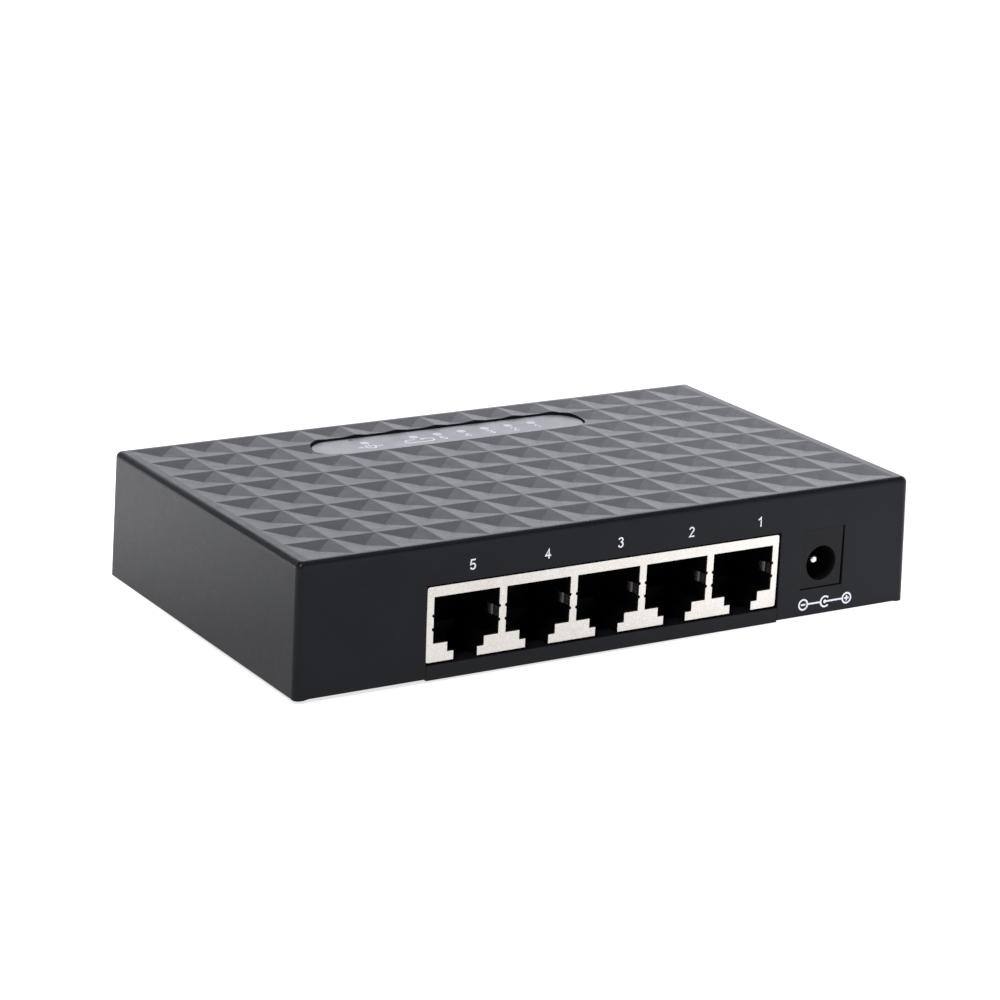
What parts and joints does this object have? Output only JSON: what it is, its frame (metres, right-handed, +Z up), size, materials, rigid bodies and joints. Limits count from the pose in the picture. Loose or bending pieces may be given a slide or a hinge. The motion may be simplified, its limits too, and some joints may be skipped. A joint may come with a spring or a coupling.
{
  "type": "desktop network switch",
  "caption": "Low black plastic box with a faceted roof, an indicator window, a shielded row of modular network sockets and a barrel power inlet.",
  "frame": {"origin": "centre of the case's plan at the level of the feet's undersides", "axes": "+X to the right as seen from the socket side, +Y from the sockets to the back, +Z up"},
  "size_m": [0.1242, 0.0716, 0.0238],
  "materials": {
    "case_plastic": "fine matt moulded texture, near black",
    "label_film": "satin grey translucent film",
    "foot_rubber": "matt",
    "screw_steel": "zinc plated",
    "contact_gold": "gold flashed, bright",
    "socket_plastic": "black filled polyester, matt",
    "shield_tin": "bright tin plate, rolled grain",
    "inlet_plastic": "matt black",
    "inlet_nickel": "bright nickel",
    "board_laminate": "green solder mask",
    "chip_epoxy": "matt black epoxy",
    "pin_tin": "tin",
    "crystal_can": "drawn steel can",
    "capacitor_can": "satin can",
    "ferrite": "ground ferrite",
    "resistor_film": "glazed top",
    "capacitor_ceramic": "fired ceramic",
    "led_resin": "clear resin on white"
  },
  "bodies": {
    "case": {"top_cover": "case_plastic", "bottom_cover": "case_plastic", "indicator_label": "label_film", "foot_front_left": "foot_rubber", "foot_back_left": "foot_rubber", "foot_front_right": "foot_rubber", "foot_back_right": "foot_rubber", "case_screws": "screw_steel", "board_screws": "screw_steel", "contact_leads": "contact_gold", "jack_housing": "socket_plastic", "jack_shield": "shield_tin", "dc_jack_body": "inlet_plastic", "dc_jack_pin": "inlet_nickel", "dc_jack_terminals": "inlet_nickel", "circuit_board": "board_laminate", "switch_chip": "chip_epoxy", "switch_chip_pins": "pin_tin", "crystal": "crystal_can", "input_capacitor": "capacitor_can", "output_capacitor": "capacitor_can", "power_inductor": "ferrite", "buck_regulator": "chip_epoxy", "protection_diode": "chip_epoxy", "chip_resistors": "resistor_film", "chip_capacitors": "capacitor_ceramic", "port_transformer_1": "chip_epoxy", "port_transformer_2": "chip_epoxy", "port_transformer_3": "chip_epoxy", "port_transformer_4": "chip_epoxy", "port_transformer_5": "chip_epoxy", "led_power": "led_resin", "led_loop": "led_resin", "led_port_5": "led_resin", "led_port_4": "led_resin", "led_port_3": "led_resin", "led_port_2": "led_resin", "led_port_1": "led_resin"},
    "contact_set_1": {"contact_springs_1": "contact_gold"},
    "contact_set_2": {"contact_springs_2": "contact_gold"},
    "contact_set_3": {"contact_springs_3": "contact_gold"},
    "contact_set_4": {"contact_springs_4": "contact_gold"},
    "contact_set_5": {"contact_springs_5": "contact_gold"},
    "inlet_leaf": {"dc_jack_spring": "inlet_nickel"}
  },
  "joints": [
    {"name": "contact_flex_1", "type": "hinge", "parent": "case", "child": "contact_set_1", "pos_m": [0.02587, -0.03135, 0.01476], "axis": [1, 0, 0], "range_deg": [0, 13], "stiffness_Nm_per_rad": 0.05, "springref_deg": -2.86},
    {"name": "contact_flex_2", "type": "hinge", "parent": "case", "child": "contact_set_2", "pos_m": [0.0119, -0.03135, 0.01476], "axis": [1, 0, 0], "range_deg": [0, 13], "stiffness_Nm_per_rad": 0.05, "springref_deg": -2.86},
    {"name": "contact_flex_3", "type": "hinge", "parent": "case", "child": "contact_set_3", "pos_m": [-0.00207, -0.03135, 0.01476], "axis": [1, 0, 0], "range_deg": [0, 13], "stiffness_Nm_per_rad": 0.05, "springref_deg": -2.86},
    {"name": "contact_flex_4", "type": "hinge", "parent": "case", "child": "contact_set_4", "pos_m": [-0.01604, -0.03135, 0.01476], "axis": [1, 0, 0], "range_deg": [0, 13], "stiffness_Nm_per_rad": 0.05, "springref_deg": -2.86},
    {"name": "contact_flex_5", "type": "hinge", "parent": "case", "child": "contact_set_5", "pos_m": [-0.03001, -0.03135, 0.01476], "axis": [1, 0, 0], "range_deg": [0, 13], "stiffness_Nm_per_rad": 0.05, "springref_deg": -2.86},
    {"name": "inlet_leaf_flex", "type": "hinge", "parent": "case", "child": "inlet_leaf", "pos_m": [0.04287, -0.02255, 0.0142], "axis": [-1, 0, 0], "range_deg": [0, 6], "stiffness_Nm_per_rad": 0.05, "springref_deg": -2.86}
  ]
}
